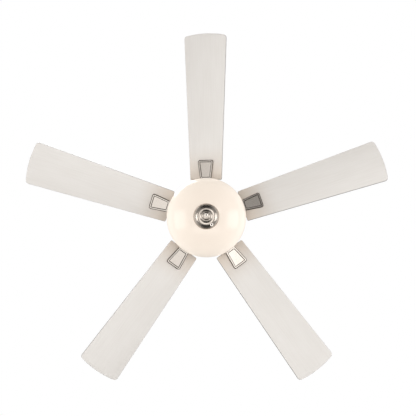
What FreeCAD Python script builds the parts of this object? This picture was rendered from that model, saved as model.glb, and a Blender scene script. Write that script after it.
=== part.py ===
import FreeCAD, Part
import math
import os

# A five-blade ceiling fan with a bowl light, hung from a short downrod.
# Millimetres, +Z up. The origin is on the fan's axis, in the plane of the ceiling.

# ---- overall sizes ----
BLADE_COUNT = 5
FIRST_BLADE_ANGLE = 90.0
TIP_R = 660.0                   # half of the 52 inch sweep
ROOT_R = 135.0
BLADE_PLANE_Z = -272.0
BLADE_PITCH = 12.5
ROD_LENGTH = 152.4              # 6 inch downrod

# ---- clearances ----
FIT = 0.05                      # screw or pin in its own hole, on the radius
SNUG = 0.1                      # parts that seat on each other
BALL_PLAY = 0.1                 # ball in its seat, on the radius
FREE = 0.6                      # holes that a screw only passes through

# ---- ceiling bracket and canopy ----
BOX_SCREW_SPACING = 88.9        # ceiling box, 3.5 inch between its screws
BOX_SCREW_HOLE_R = 2.4
BRACKET_WALL = 2.0
BRACKET_WIDTH = 36.0
WIRE_HOLE_R = 12.0
EAR_HALF_WIDTH = 10.0
GROUND_SCREW_X = 24.0
GROUND_SCREW_Y = 10.0
LEG_GAP = 10.0                  # from the ball's side to the outside of a bracket leg
CANOPY_R = 70.0
CANOPY_HEIGHT = 62.0
CANOPY_WALL = 1.2
CANOPY_ROUND = 40.0             # radius of its lower corner
CANOPY_GAP = 1.0                # between the ceiling and the canopy's rim
CANOPY_MOUTH_R = 19.0
CANOPY_SCREW_Z = -11.0

# ---- hanger ball and downrod ----
BALL_R = 26.0
BALL_Z = -30.0
BALL_TOP = 16.0                 # flat top and bottom, from the ball's centre
BALL_BOTTOM = 22.0
SEAT_DEPTH = 17.0               # lower edge of the seat, from the ball's centre
SEAT_WALL = 2.4
KEY_WIDTH = 4.0
KEY_SIDE_PLAY = 1.2
ROD_R = 13.35
ROD_BORE_R = 11.35
ROD_TOP_Z = -12.0
HANGER_PIN_R = 3.0
HANGER_PIN_Z = -22.0

# ---- coupling and motor ----
YOKE_R = 20.0
YOKE_DEPTH = 30.0               # rod's length inside the yoke
YOKE_FLOOR = 10.0
YOKE_FLANGE_R = 40.0
YOKE_FLANGE = 4.6
CLEVIS_PIN_R = 3.2
SET_SCREW_R = 2.5
COVER_WALL = 1.0
COVER_FOOT_R = 47.0
COVER_HEIGHT = 58.0
YOKE_SCREW_R = 30.0
HOUSING_R = 130.0
HOUSING_WALL = 1.2
HOUSING_HEIGHT = 84.5
HOUSING_SHOULDER = 50.0         # radius of its upper corner
HOUSING_LIP = 12.0              # radius of its lower corner
VENT_COUNT = 20
VENT_INNER_R = 66.0
VENT_OUTER_R = 92.0
VENT_WIDTH = 4.0
SHAFT_R = 8.5
SHAFT_BORE_R = 5.5
MOTOR_R = 85.0
MOTOR_HEIGHT = 62.0
MOTOR_WALL = 3.0
MOTOR_FLANGE = 10.0
MOTOR_ABOVE_BLADES = 14.0       # from the blades' plane to the underside of the motor
BEARING_BAND = 9.0              # from the shaft to the outside of its bearings
BEARING_WIDTH = 10.0
BEARING_BALL_R = 2.9
BEARING_BALLS = 9
RACE_GAP_HALF = 1.4             # from the balls' circle to each race
STATOR_R = 71.5
STATOR_STACK = 26.0
STATOR_SLOTS = 18
AIR_GAP = 0.6

# ---- blades and their irons ----
BLADE_THICKNESS = 6.0
ROOT_HALF_WIDTH = 56.5
TIP_HALF_WIDTH = 77.0
TIP_ARC_R = 330.0
ROOT_CORNER_R = 8.0
TIP_CORNER_R = 12.0
IRON_END_R = 206.0
IRON_START_R = 140.0
IRON_END_HALF_WIDTH = 28.6
IRON_TAPER = 0.125
IRON_THICKNESS = 6.0
IRON_RIM = 7.5
IRON_RECESS = 2.0
IRON_CORNER_R = 6.0
IRON_SEAT = 0.2                 # between the blade and the iron under it
FOOT_THICKNESS = 3.5
FOOT_INNER_R = 58.0
FOOT_OUTER_R = 90.0
FOOT_HALF_WIDTH = 21.0
FOOT_SCREW_R = 72.0
FOOT_SCREW_Y = 12.0
ARM_SETBACK = 6.0               # the arm's last bend, before the blade's root
BLADE_SCREWS = ((156.0, 0.0), (190.0, -14.0), (190.0, 14.0))
WASHER_R = 6.0
WASHER_THICKNESS = 0.8

# ---- switch housing and light kit ----
SWITCH_R = 58.0
SWITCH_TOP_Z = -270.0
SWITCH_HEIGHT = 28.0
SWITCH_WALL = 1.2
SWITCH_ROUND = 6.0
SWITCH_PLATE_WALL = 1.6
SHAFT_BELOW_PLATE = 6.0
FAN_SWITCH_HALF = 11.0
LIGHT_SWITCH_HALF = (10.0, 9.0)
CAPACITOR_X = (12.5, 39.5)
CAPACITOR_Y = (12.0, 34.0)
KIT_SCREW_R = 45.0
KIT_SCREW_ANGLES = (90.0, 210.0, 330.0)
PAN_R = 129.0
PAN_WALL = 1.2
PAN_SKIRT = 16.0
PAN_ROUND = 12.0
STEM_R = 5.0
STEM_BORE_R = 3.3
LAMP_Z = -331.0
LAMP_R = 24.0
LAMP_HOLDER_R = 17.0
LAMP_HOLDER_X = 24.2
LAMP_HOLDER_LENGTH = 36.0
LAMP_GLASS = 1.0
LAMP_CAP_R = 13.0

# ---- glass bowl and finial ----
BOWL_R = 139.0
BOWL_WIDEST_Z = -314.0
BOWL_DEPTH = 91.0
BOWL_SHOULDER_R = 70.0
BOWL_RIM_R = 135.0
BOWL_RIM_HEIGHT = 13.0
BOWL_WALL = 3.0
BOWL_HOLE_R = 39.0
GASKET = 0.8
CAP_R = 44.5
CAP_HEIGHT = 22.0
CAP_WALL = 1.2
FINIAL_TIER_R = 23.5
FINIAL_KNOB_R = 15.0
FINIAL_TIP_R = 8.6
FINIAL_HEIGHT = 28.0
FINIAL_SOCKET = 13.5

# ---- pull chains and reverse switch ----
CHAIN_R = 1.6
CHAIN_HOLE_R = 2.4
FAN_CHAIN_X = -18.0
FAN_CHAIN_Y = -32.0
CHAIN_TOP_Z = -294.0
LIGHT_CHAIN_END_Z = -486.0
FAN_CHAIN_END_Z = -480.0
FOB_R = 5.8
FOB_LENGTH = 17.0
FERRULE_R = 4.4
SLIDER_TRAVEL = 3.0
SLIDER_HALF_WIDTH = 2.0

# ---- fasteners: shank radius, head radius, head height ----
SMALL_SCREW = (2.0, 3.9, 2.4)
LARGE_SCREW = (2.4, 4.6, 2.8)

# ---- heights that follow from the sizes above ----
ROD_END_Z = ROD_TOP_Z - ROD_LENGTH
YOKE_TOP_Z = ROD_END_Z + YOKE_DEPTH
YOKE_SEAT_Z = ROD_END_Z - 1.6
YOKE_END_Z = YOKE_SEAT_Z - YOKE_FLOOR - SNUG
HOUSING_TOP_Z = YOKE_END_Z + YOKE_FLANGE + HOUSING_WALL + 2 * SNUG
HOUSING_END_Z = HOUSING_TOP_Z - HOUSING_HEIGHT
MOTOR_TOP_Z = BLADE_PLANE_Z + MOTOR_ABOVE_BLADES + MOTOR_HEIGHT
MOTOR_END_Z = MOTOR_TOP_Z - MOTOR_HEIGHT
MOTOR_MID_Z = (MOTOR_TOP_Z + MOTOR_END_Z) / 2
BEARING_R = SHAFT_R + BEARING_BAND
BEARING_PITCH_R = SHAFT_R + BEARING_BAND / 2
SHAFT_TOP_Z = YOKE_SEAT_Z - 1.0
SHAFT_END_Z = SWITCH_TOP_Z - SHAFT_BELOW_PLATE
SWITCH_END_Z = SWITCH_TOP_Z - SWITCH_HEIGHT
PAN_TOP_Z = SWITCH_END_Z - 2 * SNUG
PAN_UNDER_Z = PAN_TOP_Z - PAN_WALL
BOWL_RIM_Z = BOWL_WIDEST_Z + BOWL_RIM_HEIGHT
BOWL_SAG_R = ((BOWL_R ** 2 + BOWL_DEPTH ** 2 - 2 * BOWL_R * BOWL_SHOULDER_R)
              / (2 * (BOWL_DEPTH - BOWL_SHOULDER_R)))
BOWL_SAG_Z = BOWL_WIDEST_Z - BOWL_DEPTH + BOWL_SAG_R
BOWL_HOLE_Z = BOWL_SAG_Z - math.sqrt(BOWL_SAG_R ** 2 - BOWL_HOLE_R ** 2)
CAP_TOP_Z = BOWL_HOLE_Z - SNUG - GASKET - SNUG
CAP_END_Z = CAP_TOP_Z - CAP_HEIGHT
FINIAL_TOP_Z = CAP_END_Z - SNUG
FINIAL_END_Z = FINIAL_TOP_Z - FINIAL_HEIGHT
STEM_TOP_Z = CHAIN_TOP_Z - 0.5
NUT_HEIGHT = 3.6
NUT_R = 9.2

X = FreeCAD.Vector(1, 0, 0)
Y = FreeCAD.Vector(0, 1, 0)
Z = FreeCAD.Vector(0, 0, 1)
ORIGIN = FreeCAD.Vector(0, 0, 0)


# ---- drawing helpers ----

def point(x, y, z):
    return FreeCAD.Vector(x, y, z)


def block(x_range, y_range, z_range):
    (x0, x1), (y0, y1), (z0, z1) = x_range, y_range, z_range
    return Part.makeBox(x1 - x0, y1 - y0, z1 - z0, point(x0, y0, z0))


def post(r, z_low, z_high, x=0.0, y=0.0):
    return Part.makeCylinder(r, z_high - z_low, point(x, y, z_low))


def bar(r, start, end):
    return Part.makeCylinder(r, (end - start).Length, start, end - start)


def outline(start, *steps):
    """A wire in the XZ plane from (radius, height) points; a pair of points is an arc."""
    edges = []
    here = point(start[0], 0, start[1])
    for step in steps:
        if isinstance(step[0], tuple):
            through, end = (point(r, 0, z) for r, z in step)
            edges.append(Part.Arc(here, through, end).toShape())
        else:
            end = point(step[0], 0, step[1])
            edges.append(Part.LineSegment(here, end).toShape())
        here = end
    return Part.Wire(edges)


def quarter(start, end):
    """The arc step that rounds an outer corner, level at one end and upright at the other."""
    (r0, z0), (r1, z1) = start, end
    inward = r0 > r1
    centre_r, centre_z = min(r0, r1), (z0 if inward else z1)
    corner_r, corner_z = max(r0, r1), (z1 if inward else z0)
    share = math.sqrt(0.5)
    through = (centre_r + (corner_r - centre_r) * share, centre_z + (corner_z - centre_z) * share)
    return (through, end)


def turned(start, *steps):
    """A solid of revolution from a closed outline."""
    face = Part.Face(outline(start, *steps, start))
    return face.revolve(ORIGIN, Z, 360)


def spun(wall, start, *steps):
    """A sheet metal or glass shell whose outer face is the outline, with its wall inside it."""
    wire = outline(start, *steps)
    sides = [wire.makeOffset2D(side * wall, 2, True, True) for side in (1, -1)]
    inner = min(sides, key=lambda face: max(corner.X for corner in face.Vertexes))
    return inner.revolve(ORIGIN, Z, 360)


def around(shape, angle):
    copy = shape.copy()
    copy.rotate(ORIGIN, Z, angle)
    return copy


def ring_of(shape, count, first_angle=0.0):
    return [around(shape, first_angle + 360.0 * i / count) for i in range(count)]


def group(shapes):
    return Part.makeCompound(shapes)


def cut_all(shape, tools):
    return shape.cut(group(tools)) if tools else shape


def screw(size, tip, seat, recess=1.2):
    """A pan-head screw from its tip to the face that its head seats on, with a cross recess."""
    shank_r, head_r, head_height = size
    along = (seat - tip).normalize()
    crown = seat + along * head_height
    head = bar(head_r, seat, crown)
    head = head.makeFillet(head_height * 0.45, [head.Edges[0]])
    made = bar(shank_r, tip, seat).fuse(head)
    slot = Part.makeBox(head_r * 1.1, 0.9, recess * 2, point(-head_r * 0.55, -0.45, -recess))
    cross = slot.fuse(slot.rotated(ORIGIN, Z, 90))
    cross.Placement = FreeCAD.Placement(crown, FreeCAD.Rotation(Z, along))
    return made.cut(cross).removeSplitter()


def hex_nut(z_low, height, flat_to_corner_r, bore_r):
    prism = Part.Face(Part.makePolygon(
        [point(flat_to_corner_r * math.cos(math.radians(60 * i)),
               flat_to_corner_r * math.sin(math.radians(60 * i)), z_low) for i in range(7)]
    )).extrude(Z * height)
    return prism.cut(post(bore_r, z_low, z_low + height))


def to_blade(shape, index):
    """From the blade's own frame, x outwards and z square to the blade, to its place on the fan."""
    placed = shape.copy()
    placed.rotate(ORIGIN, X, -BLADE_PITCH)
    placed.translate(point(0, 0, BLADE_PLANE_Z))
    return around(placed, FIRST_BLADE_ANGLE + 360.0 * index / BLADE_COUNT)


# ---- ceiling bracket and canopy ----

def ear_face_x():
    inner_r = CANOPY_R - CANOPY_WALL
    return math.sqrt(inner_r ** 2 - EAR_HALF_WIDTH ** 2) - 2 * SNUG


def hanger_bracket():
    half = BRACKET_WIDTH / 2
    leg_x = BALL_R + LEG_GAP
    ear_x = ear_face_x()
    seat_top_z = BALL_Z - 8.0
    seat_end_z = BALL_Z - SEAT_DEPTH
    shape = block((-ear_x, ear_x), (-half, half), (-BRACKET_WALL, 0))
    shape = shape.common(post(CANOPY_R - CANOPY_WALL - 3 * SNUG, -BRACKET_WALL, 0))
    for side in (-1, 1):
        leg = sorted((side * leg_x, side * (leg_x - BRACKET_WALL)))
        shelf = sorted((side * leg_x, side * (BALL_R + 0.5)))
        ear = sorted((side * ear_x, side * (ear_x - BRACKET_WALL)))
        shape = shape.fuse(block(leg, (-half, half), (seat_top_z - BRACKET_WALL, -BRACKET_WALL)))
        shape = shape.fuse(block(shelf, (-half, half), (seat_top_z - BRACKET_WALL, seat_top_z)))
        shape = shape.fuse(block(ear, (-EAR_HALF_WIDTH, EAR_HALF_WIDTH), (CANOPY_SCREW_Z - 7.0, 0)))
    centre = point(0, 0, BALL_Z)
    cup = Part.makeSphere(BALL_R + BALL_PLAY + SEAT_WALL, centre)
    cup = cup.common(post(BALL_R * 2, seat_end_z, seat_top_z))
    key = block((BALL_R - 7.0, BALL_R + 1.0), (-KEY_WIDTH / 2, KEY_WIDTH / 2),
                (seat_end_z + 1.0, seat_top_z - 2.0))
    hollow = Part.makeSphere(BALL_R + BALL_PLAY, centre)
    mouth = block((-ROD_R - 2.0, ROD_R + 2.0), (-BALL_R * 2, 0), (seat_end_z - 1, seat_top_z + 1))
    shape = shape.fuse(cup).cut(hollow).cut(mouth).fuse(key)
    holes = [post(BOX_SCREW_HOLE_R, -BRACKET_WALL - 1, 1, side * BOX_SCREW_SPACING / 2)
             for side in (-1, 1)]
    holes.append(post(WIRE_HOLE_R, -BRACKET_WALL - 1, 1))
    holes.append(post(SMALL_SCREW[0] + FIT, -BRACKET_WALL - 1, 1, GROUND_SCREW_X, GROUND_SCREW_Y))
    holes.append(bar(SMALL_SCREW[0] + FIT, point(-CANOPY_R, 0, CANOPY_SCREW_Z),
                     point(-leg_x - 1, 0, CANOPY_SCREW_Z)))
    holes.append(bar(SMALL_SCREW[0] + FIT, point(CANOPY_R, 0, CANOPY_SCREW_Z),
                     point(leg_x + 1, 0, CANOPY_SCREW_Z)))
    return cut_all(shape, holes).removeSplitter()


def canopy():
    end_z = -CANOPY_HEIGHT
    side, floor = (CANOPY_R, end_z + CANOPY_ROUND), (CANOPY_R - CANOPY_ROUND, end_z)
    shape = spun(CANOPY_WALL, (CANOPY_R, -CANOPY_GAP), side, quarter(side, floor),
                 (CANOPY_MOUTH_R, end_z))
    across = bar(SMALL_SCREW[0] + FREE / 2, point(-CANOPY_R - 5, 0, CANOPY_SCREW_Z),
                 point(CANOPY_R + 5, 0, CANOPY_SCREW_Z))
    return shape.cut(across)


def canopy_screws():
    made = screw(SMALL_SCREW, point(ear_face_x() - 5.0, 0, CANOPY_SCREW_Z),
                 point(CANOPY_R + SNUG, 0, CANOPY_SCREW_Z))
    return group(ring_of(made, 2))


def ground_screw():
    return screw(SMALL_SCREW, point(GROUND_SCREW_X, GROUND_SCREW_Y, -3 * SNUG),
                 point(GROUND_SCREW_X, GROUND_SCREW_Y, -BRACKET_WALL - SNUG))


# ---- hanger ball and downrod ----

def hanger_ball():
    ball = Part.makeSphere(BALL_R, point(0, 0, BALL_Z))
    ball = ball.common(post(BALL_R * 2, BALL_Z - BALL_BOTTOM, BALL_Z + BALL_TOP))
    key_way = KEY_WIDTH / 2 + KEY_SIDE_PLAY
    tools = [
        post(ROD_R + SNUG, -80.0, 10.0),
        block((BALL_R - 8.0, BALL_R + 5.0), (-key_way, key_way), (-80.0, 10.0)),
        bar(HANGER_PIN_R + FIT, point(0, -BALL_R - 2, HANGER_PIN_Z),
            point(0, BALL_R + 2, HANGER_PIN_Z)),
        bar(SET_SCREW_R + FIT, point(-BALL_R - 2, 0, BALL_Z - 3), point(0, 0, BALL_Z - 3)),
    ]
    return cut_all(ball, tools)


def hanger_pin():
    return bar(HANGER_PIN_R, point(0, -19.0, HANGER_PIN_Z), point(0, 19.0, HANGER_PIN_Z))


def clevis_z():
    return ROD_END_Z + YOKE_DEPTH * 0.45


def downrod():
    tube = post(ROD_R, ROD_END_Z, ROD_TOP_Z).cut(post(ROD_BORE_R, ROD_END_Z, ROD_TOP_Z))
    reach = ROD_R + 2
    tools = [
        bar(HANGER_PIN_R + FIT, point(0, -reach, HANGER_PIN_Z), point(0, reach, HANGER_PIN_Z)),
        bar(CLEVIS_PIN_R + FIT, point(0, -reach, clevis_z()), point(0, reach, clevis_z())),
    ]
    return cut_all(tube, tools)


# ---- coupling ----

def motor_yoke():
    inner_r = ROD_R + SNUG
    flange_top_z = YOKE_END_Z + YOKE_FLANGE
    shape = turned((inner_r, YOKE_TOP_Z), (YOKE_R, YOKE_TOP_Z), (YOKE_R, flange_top_z),
                   (YOKE_FLANGE_R, flange_top_z), (YOKE_FLANGE_R, YOKE_END_Z),
                   (SHAFT_R + FIT, YOKE_END_Z), (SHAFT_R + FIT, YOKE_SEAT_Z),
                   (inner_r, YOKE_SEAT_Z))
    reach = YOKE_R + 2
    set_z = YOKE_TOP_Z - 6.0
    tools = [
        bar(CLEVIS_PIN_R + FIT, point(0, -reach, clevis_z()), point(0, reach, clevis_z())),
        bar(SET_SCREW_R + FIT, point(-reach, 0, set_z), point(reach, 0, set_z)),
    ]
    hole = post(LARGE_SCREW[0] + FIT, YOKE_END_Z - 1, flange_top_z + 1, YOKE_SCREW_R)
    return cut_all(shape, tools + ring_of(hole, 4, 45.0))


def clevis_pin():
    end_y = YOKE_R + 6.0
    z = clevis_z()
    pin = bar(CLEVIS_PIN_R, point(0, -YOKE_R - 0.2, z), point(0, end_y, z))
    head = bar(CLEVIS_PIN_R + 1.8, point(0, -YOKE_R - 2.7, z), point(0, -YOKE_R - 0.2, z))
    clip_hole = post(0.9 + SNUG, z - 8, z + 8, 0, end_y - 3.0)
    return pin.fuse(head).cut(clip_hole).removeSplitter()


def hairpin_clip():
    y = YOKE_R + 3.0
    z = clevis_z()
    wire_r, bow_r, reach = 0.9, 3.0, 7.0
    leg = bar(wire_r, point(0, y, z - reach), point(0, y, z + reach))
    spring = bar(wire_r, point(0, y + 2 * bow_r, z - reach), point(0, y + 2 * bow_r, z + reach))
    end = Part.Face(Part.Wire(Part.makeCircle(wire_r, point(0, y, z + reach), Z)))
    bow = end.revolve(point(0, y + bow_r, z + reach), X, -180)
    return leg.fuse(bow).fuse(spring)


def set_screws():
    set_z = YOKE_TOP_Z - 6.0
    socket_depth = 2.0

    def grub(inner_x, outer_x, z):
        body = bar(SET_SCREW_R, point(inner_x, 0, z), point(outer_x, 0, z))
        toward = 1 if inner_x > outer_x else -1
        socket = bar(1.2, point(outer_x, 0, z), point(outer_x + toward * socket_depth, 0, z))
        return body.cut(socket)

    reach = ROD_R + SNUG
    return group([grub(-reach, -BALL_R + 4.0, BALL_Z - 3), grub(-reach, -YOKE_R, set_z),
                  grub(reach, YOKE_R, set_z)])


def coupling_cover():
    foot_z = HOUSING_TOP_Z + 3 * SNUG
    neck_r = ROD_R + COVER_WALL + 2 * SNUG
    top_z = foot_z + COVER_HEIGHT
    return spun(COVER_WALL, (neck_r, top_z), (neck_r, top_z - 4.0),
                ((COVER_FOOT_R - 13.0, top_z - 14.0), (COVER_FOOT_R - 3.0, top_z - 34.0)),
                (COVER_FOOT_R, foot_z))


# ---- motor housing and motor ----

def motor_housing():
    top, end = HOUSING_TOP_Z, HOUSING_END_Z
    crown, brow = (HOUSING_R - HOUSING_SHOULDER, top), (HOUSING_R, top - HOUSING_SHOULDER)
    skirt, lip = (HOUSING_R, end + HOUSING_LIP), (HOUSING_R - HOUSING_LIP, end)
    shape = spun(HOUSING_WALL, (YOKE_R + 1.0, top), crown, quarter(crown, brow), skirt,
                 quarter(skirt, lip))
    hole = post(LARGE_SCREW[0] + FREE / 2, top - 5, top + 5, YOKE_SCREW_R)
    vent = block((VENT_INNER_R, VENT_OUTER_R), (-VENT_WIDTH / 2, VENT_WIDTH / 2),
                 (top - HOUSING_SHOULDER, top + 5.0))
    return cut_all(shape, ring_of(hole, 4, 45.0) + ring_of(vent, VENT_COUNT))


def housing_screws():
    tip_z = YOKE_END_Z + 0.5
    made = screw(LARGE_SCREW, point(YOKE_SCREW_R, 0, tip_z),
                 point(YOKE_SCREW_R, 0, HOUSING_TOP_Z + SNUG))
    return group(ring_of(made, 4, 45.0))


def motor_shaft():
    shaft = post(SHAFT_R, SHAFT_END_Z, SHAFT_TOP_Z)
    return shaft.cut(post(SHAFT_BORE_R, SHAFT_END_Z, SHAFT_TOP_Z))


def bearing_heights():
    """The lower faces of the two bearings."""
    return (MOTOR_TOP_Z - MOTOR_WALL - BEARING_WIDTH, MOTOR_END_Z + MOTOR_WALL)


def race_groove(z_low):
    return Part.makeTorus(BEARING_PITCH_R, BEARING_BALL_R + FIT, point(0, 0, z_low + BEARING_WIDTH / 2))


def bearing_inner_races():
    races = []
    for z in bearing_heights():
        ring = post(BEARING_PITCH_R - RACE_GAP_HALF, z, z + BEARING_WIDTH)
        races.append(ring.cut(post(SHAFT_R + FIT, z, z + BEARING_WIDTH)).cut(race_groove(z)))
    return group(races)


def rotor_bearings():
    """Outer races and balls, which turn with the rotor."""
    solids = []
    for z in bearing_heights():
        ring = post(BEARING_R, z, z + BEARING_WIDTH)
        ring = ring.cut(post(BEARING_PITCH_R + RACE_GAP_HALF, z, z + BEARING_WIDTH))
        solids.append(ring.cut(race_groove(z)))
        ball = Part.makeSphere(BEARING_BALL_R, point(BEARING_PITCH_R, 0, z + BEARING_WIDTH / 2))
        solids += ring_of(ball, BEARING_BALLS)
    return group(solids)


def rotor_cover(outer_z, inward):
    """Half of the motor's shell: inward is -1 for the top half and 1 for the bottom half."""
    wall = MOTOR_WALL
    split_z = MOTOR_MID_Z - inward * SNUG
    boss_r = BEARING_R + 4.0
    boss_z = outer_z + inward * (wall + BEARING_WIDTH)
    lip_z = outer_z + inward * (wall - SNUG)
    shape = turned((SHAFT_R + 3.5, outer_z), (MOTOR_R - 4.0, outer_z),
                   (MOTOR_R, outer_z + inward * 4.0), (MOTOR_R, split_z - inward * 4.0),
                   (MOTOR_R + MOTOR_FLANGE, split_z - inward * 4.0),
                   (MOTOR_R + MOTOR_FLANGE, split_z), (MOTOR_R - wall, split_z),
                   (MOTOR_R - wall, outer_z + inward * (wall + 2.0)),
                   (MOTOR_R - wall - 2.0, outer_z + inward * wall),
                   (boss_r, outer_z + inward * wall), (boss_r, boss_z),
                   (BEARING_R + FIT, boss_z), (BEARING_R + FIT, lip_z), (SHAFT_R + 3.5, lip_z))
    return shape


def flange_screw_r():
    return MOTOR_R + MOTOR_FLANGE * 0.55


def rotor_top_cover():
    hole = post(SMALL_SCREW[0] + FREE / 2, MOTOR_MID_Z - 1, MOTOR_MID_Z + 8, flange_screw_r())
    vent = block((40.0, 62.0), (-3.0, 3.0), (MOTOR_TOP_Z - MOTOR_WALL - 1, MOTOR_TOP_Z + 1))
    return cut_all(rotor_cover(MOTOR_TOP_Z, -1), ring_of(hole, 6) + ring_of(vent, 10))


def iron_screw_places():
    return [point(FOOT_SCREW_R, side * FOOT_SCREW_Y, 0) for side in (-1, 1)]


def rotor_bottom_cover():
    hole = post(SMALL_SCREW[0] + FIT, MOTOR_MID_Z - 8, MOTOR_MID_Z + 1, flange_screw_r())
    tools = ring_of(hole, 6)
    for place in iron_screw_places():
        tapped = post(LARGE_SCREW[0] + FIT, MOTOR_END_Z - 1, MOTOR_END_Z + MOTOR_WALL + 1,
                      place.x, place.y)
        tools += ring_of(tapped, BLADE_COUNT, FIRST_BLADE_ANGLE)
    return cut_all(rotor_cover(MOTOR_END_Z, 1), tools)


def rotor_ring():
    outer = MOTOR_R - MOTOR_WALL - SNUG
    low, high = MOTOR_MID_Z - STATOR_STACK / 2, MOTOR_MID_Z + STATOR_STACK / 2
    return post(outer, low, high).cut(post(STATOR_R + AIR_GAP, low, high))


def rotor_screws():
    made = screw(SMALL_SCREW, point(flange_screw_r(), 0, MOTOR_MID_Z - 3.8),
                 point(flange_screw_r(), 0, MOTOR_MID_Z + 4.0 + 2 * SNUG))
    return group(ring_of(made, 6))


def stator_core():
    low, high = MOTOR_MID_Z - STATOR_STACK / 2, MOTOR_MID_Z + STATOR_STACK / 2
    core = post(STATOR_R, low, high).cut(post(SHAFT_R + FIT, low, high))
    slot = block((STATOR_R * 0.56, STATOR_R - 3.5), (-3.2, 3.2), (low - 1, high + 1))
    slot = slot.fuse(block((STATOR_R - 4.0, STATOR_R + 2), (-1.2, 1.2), (low - 1, high + 1)))
    return cut_all(core, ring_of(slot, STATOR_SLOTS))


def stator_windings():
    """The coils' end turns, above and below the core."""
    rings = []
    inner_r, outer_r = STATOR_R * 0.52, STATOR_R - 8.0
    for side in (-1, 1):
        near = MOTOR_MID_Z + side * (STATOR_STACK / 2 + SNUG)
        far = near + side * 10.0
        rings.append(turned((inner_r, near), (outer_r, near), (outer_r, far - side * 4.0),
                            ((outer_r - 1.2, far - side * 1.2), (outer_r - 4.0, far)),
                            (inner_r + 4.0, far),
                            ((inner_r + 1.2, far - side * 1.2), (inner_r, far - side * 4.0))))
    return group(rings)


# ---- blades and irons ----

def half_width(r):
    share = (r - ROOT_R) / (TIP_R - 20.0 - ROOT_R)
    return ROOT_HALF_WIDTH + (TIP_HALF_WIDTH - ROOT_HALF_WIDTH) * share


def blade_outline_face():
    corner_x = TIP_R - TIP_ARC_R + math.sqrt(TIP_ARC_R ** 2 - half_width(TIP_R - 10.0) ** 2)
    wide, narrow = half_width(corner_x), half_width(ROOT_R)
    low = -BLADE_THICKNESS / 2
    corners = [point(ROOT_R, -narrow, low), point(corner_x, -wide, low),
               point(corner_x, wide, low), point(ROOT_R, narrow, low)]
    edges = [Part.LineSegment(corners[0], corners[1]).toShape(),
             Part.Arc(corners[1], point(TIP_R, 0, low), corners[2]).toShape(),
             Part.LineSegment(corners[2], corners[3]).toShape(),
             Part.LineSegment(corners[3], corners[0]).toShape()]
    return Part.Face(Part.Wire(edges))


def blade(index):
    board = blade_outline_face().extrude(Z * BLADE_THICKNESS)
    middle = (ROOT_R + TIP_R) / 2
    for radius, at_tip in ((ROOT_CORNER_R, False), (TIP_CORNER_R, True)):
        corners = [e for e in board.Edges if abs(e.BoundBox.ZLength - BLADE_THICKNESS) < 0.01
                   and e.BoundBox.YLength < 0.01 and (e.BoundBox.XMin > middle) == at_tip]
        board = board.makeFillet(radius, corners)
    holes = [post(LARGE_SCREW[0] + FREE / 2, -BLADE_THICKNESS, BLADE_THICKNESS, x, y)
             for x, y in BLADE_SCREWS]
    return to_blade(cut_all(board, holes), index)


def blade_screws():
    washer_top = BLADE_THICKNESS / 2 + SNUG + WASHER_THICKNESS
    tip_z = -BLADE_THICKNESS / 2 - IRON_SEAT - (IRON_THICKNESS - IRON_RECESS) + 1.2
    made = [screw(LARGE_SCREW, point(x, y, tip_z), point(x, y, washer_top + SNUG))
            for x, y in BLADE_SCREWS]
    return group([to_blade(one, i) for i in range(BLADE_COUNT) for one in made])


def blade_washers():
    low = BLADE_THICKNESS / 2 + SNUG
    high = low + WASHER_THICKNESS
    made = [post(WASHER_R, low, high, x, y).cut(post(LARGE_SCREW[0] + SNUG, low, high, x, y))
            for x, y in BLADE_SCREWS]
    return group([to_blade(one, i) for i in range(BLADE_COUNT) for one in made])


def trapezoid(inner_x, outer_x, outer_half, z_low, z_high, inset=0.0):
    """A tapered plate: its sides close in by the iron's taper towards the axis."""
    inner_half = outer_half - IRON_TAPER * (outer_x - inner_x)
    corners = [point(inner_x, -inner_half + inset, z_low),
               point(outer_x - inset, -outer_half + inset, z_low),
               point(outer_x - inset, outer_half - inset, z_low),
               point(inner_x, inner_half - inset, z_low)]
    face = Part.Face(Part.makePolygon(corners + corners[:1]))
    return face.extrude(Z * (z_high - z_low))


def rounded_ends(solid, radius, beyond_x):
    height = solid.BoundBox.ZLength
    upright = [e for e in solid.Edges
               if abs(e.BoundBox.ZLength - height) < 0.01 and e.BoundBox.XMin > beyond_x
               and e.BoundBox.XLength < 0.01 and e.BoundBox.YLength < 0.01]
    return solid.makeFillet(radius, upright)


def arm_section(r, half, thickness, z, pitch):
    """A rectangle square to the radius, turned by the pitch about the radius."""
    corners = [point(r, y, h) for y, h in ((-half, -thickness / 2), (half, -thickness / 2),
                                           (half, thickness / 2), (-half, thickness / 2))]
    wire = Part.makePolygon(corners + corners[:1])
    wire.rotate(ORIGIN, X, pitch)
    wire.translate(point(0, 0, z))
    return wire


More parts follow.
